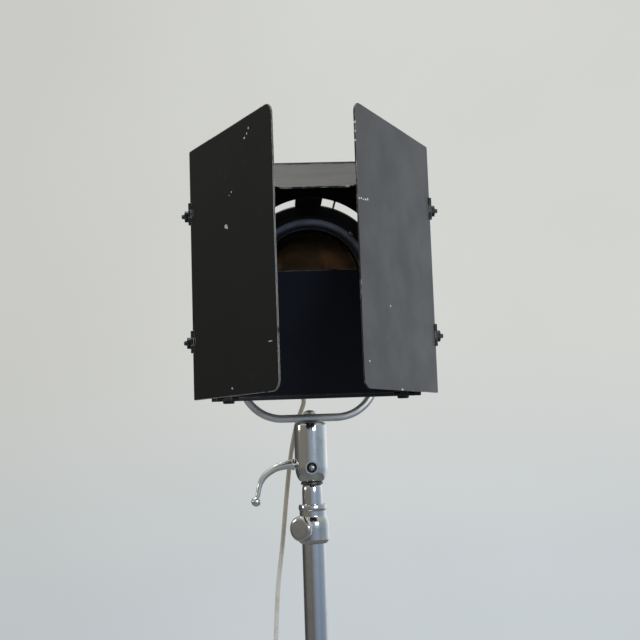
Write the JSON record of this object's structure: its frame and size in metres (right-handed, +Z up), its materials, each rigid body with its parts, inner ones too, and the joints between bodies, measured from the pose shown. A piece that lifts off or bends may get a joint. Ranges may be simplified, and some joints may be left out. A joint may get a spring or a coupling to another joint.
{
  "type": "spotlight floor lamp",
  "caption": "Free-standing spotlight: a cylindrical lamp head with barn door leaves, tilting in a yoke on a telescopic stand with splayed legs and a free lead.",
  "frame": {"origin": "on the floor, midway between the feet's extremes, on the axis of the stand's tubes", "axes": "+Z up along the stand's tubes, the lamp faces -Y, +X to the right as seen from the front"},
  "size_m": [0.5324, 0.61, 1.522],
  "materials": {
    "black_paint": "satin black paint on sheet metal, worn to bare metal at the edges",
    "bright_metal": "polished chrome plate, slightly dulled",
    "base_casting": "plated casting",
    "steel": "plain zinc-plated steel",
    "reflector_mirror": "polished spherical mirror",
    "lens_glass": "clear moulded lens",
    "lamp_glass": "clear glass envelope",
    "ceramic": "unglazed steatite",
    "black_plastic": "moulded black plastic",
    "black_rubber": "matt rubber",
    "ivory_lead": "smooth flexible PVC sheath",
    "ivory_plastic": "moulded plastic"
  },
  "bodies": {
    "stand": {"base_hub": "base_casting", "leg_rear": "bright_metal", "leg_left": "bright_metal", "leg_right": "bright_metal", "foot_rear": "black_rubber", "foot_left": "black_rubber", "foot_right": "black_rubber", "outer_tube": "bright_metal", "tube_collar": "bright_metal", "lead_lower": "ivory_lead", "lead_floor": "ivory_lead", "lead_coil": "ivory_lead", "switch_body": "ivory_plastic", "plug_body": "ivory_plastic", "plug_pin_left": "steel", "plug_pin_right": "steel"},
    "collar_knob": {"collar_knob": "bright_metal"},
    "rocker": {"switch_rocker": "black_plastic"},
    "upper_tube": {"inner_tube": "bright_metal", "swivel_spigot": "steel", "lead_middle": "ivory_lead"},
    "yoke": {"swivel_adapter": "bright_metal", "adapter_screw": "steel", "yoke": "bright_metal", "yoke_bolt": "bright_metal", "lead_upper": "ivory_lead"},
    "clamp_lever": {"clamp_lever": "bright_metal"},
    "tilt_knob_left": {"tilt_knob_left": "black_plastic"},
    "tilt_knob_right": {"tilt_knob_right": "black_plastic"},
    "head": {"housing": "black_paint", "vent_cowl": "black_paint", "front_ring": "black_paint", "lens": "lens_glass", "lens_retainer": "steel", "cable_gland": "black_plastic", "strain_relief": "black_rubber", "door_plate": "black_paint", "door_bracket_top": "black_paint", "door_bracket_left": "black_paint", "door_bracket_right": "black_paint", "retaining_wire": "steel", "hinge_left_upper": "black_paint", "hinge_left_lower": "black_paint", "hinge_right_upper": "black_paint", "hinge_right_lower": "black_paint", "hinge_top_left": "black_paint", "hinge_top_right": "black_paint", "hinge_bottom_left": "black_paint", "hinge_bottom_right": "black_paint"},
    "leaf_left": {"leaf_left": "black_paint"},
    "leaf_right": {"leaf_right": "black_paint"},
    "leaf_top": {"leaf_top": "black_paint"},
    "leaf_bottom": {"leaf_bottom": "black_paint"},
    "rear_cover": {"rear_cover": "black_paint"},
    "rear_latch": {"rear_latch": "steel"},
    "focus": {"lamp_tray": "steel", "lamp_holder": "ceramic", "lamp_bulb": "lamp_glass", "reflector": "reflector_mirror"},
    "focus_knob": {"focus_knob": "black_plastic"}
  },
  "joints": [
    {"name": "height_slide", "type": "slide", "parent": "stand", "child": "upper_tube", "axis": [0, 0, 1], "range_m": [-0.018, 0.6], "deforming": ["lead_lower"]},
    {"name": "collar_knob_turn", "type": "hinge", "parent": "stand", "child": "collar_knob", "pos_m": [0, 0, 1.1938], "axis": [-0.6157, -0.788, 0], "range_deg": [-30, 330]},
    {"name": "switch_rock", "type": "hinge", "parent": "stand", "child": "rocker", "pos_m": [-0.188, 0.076, 0.015], "axis": [-0.4226, 0.9063, 0], "range_deg": [0, 14]},
    {"name": "pan", "type": "hinge", "parent": "upper_tube", "child": "yoke", "pos_m": [0, 0, 1.42], "axis": [0, 0, 1], "range_deg": [-175, 175], "deforming": ["lead_middle"]},
    {"name": "clamp_lever_turn", "type": "hinge", "parent": "yoke", "child": "clamp_lever", "pos_m": [0, 0, 1.255], "axis": [1, 0, 0], "range_deg": [-90, 90]},
    {"name": "tilt_knob_left_turn", "type": "hinge", "parent": "yoke", "child": "tilt_knob_left", "pos_m": [0, 0, 1.42], "axis": [-1, 0, 0], "range_deg": [-30, 330]},
    {"name": "tilt_knob_right_turn", "type": "hinge", "parent": "yoke", "child": "tilt_knob_right", "pos_m": [0, 0, 1.42], "axis": [1, 0, 0], "range_deg": [-30, 330]},
    {"name": "tilt", "type": "hinge", "parent": "yoke", "child": "head", "pos_m": [0, 0, 1.42], "axis": [-1, 0, 0], "range_deg": [-45, 70], "deforming": ["lead_upper"]},
    {"name": "leaf_left_swing", "type": "hinge", "parent": "head", "child": "leaf_left", "pos_m": [-0.1, -0.175, 1.42], "axis": [0, 0, -1], "range_deg": [-4.5, 115]},
    {"name": "leaf_right_swing", "type": "hinge", "parent": "head", "child": "leaf_right", "pos_m": [0.1, -0.175, 1.42], "axis": [0, 0, 1], "range_deg": [-4.5, 115]},
    {"name": "leaf_top_swing", "type": "hinge", "parent": "head", "child": "leaf_top", "pos_m": [0, -0.175, 1.5095], "axis": [-1, 0, 0], "range_deg": [-60, 110]},
    {"name": "leaf_bottom_swing", "type": "hinge", "parent": "head", "child": "leaf_bottom", "pos_m": [0, -0.175, 1.3142], "axis": [1, 0, 0], "range_deg": [-15, 138]},
    {"name": "rear_cover_swing", "type": "hinge", "parent": "head", "child": "rear_cover", "pos_m": [0, 0.08, 1.4845], "axis": [1, 0, 0], "range_deg": [0, 100]},
    {"name": "rear_latch_turn", "type": "hinge", "parent": "rear_cover", "child": "rear_latch", "pos_m": [0, 0.0784, 1.3545], "axis": [0, 1, 0], "range_deg": [-30, 330]},
    {"name": "focus_slide", "type": "slide", "parent": "head", "child": "focus", "axis": [0, 1, 0], "range_m": [-0.035, 0.03]},
    {"name": "focus_knob_turn", "type": "hinge", "parent": "focus", "child": "focus_knob", "pos_m": [0, -0.036, 1.35], "axis": [0, 0, 1], "range_deg": [-30, 330]}
  ]
}
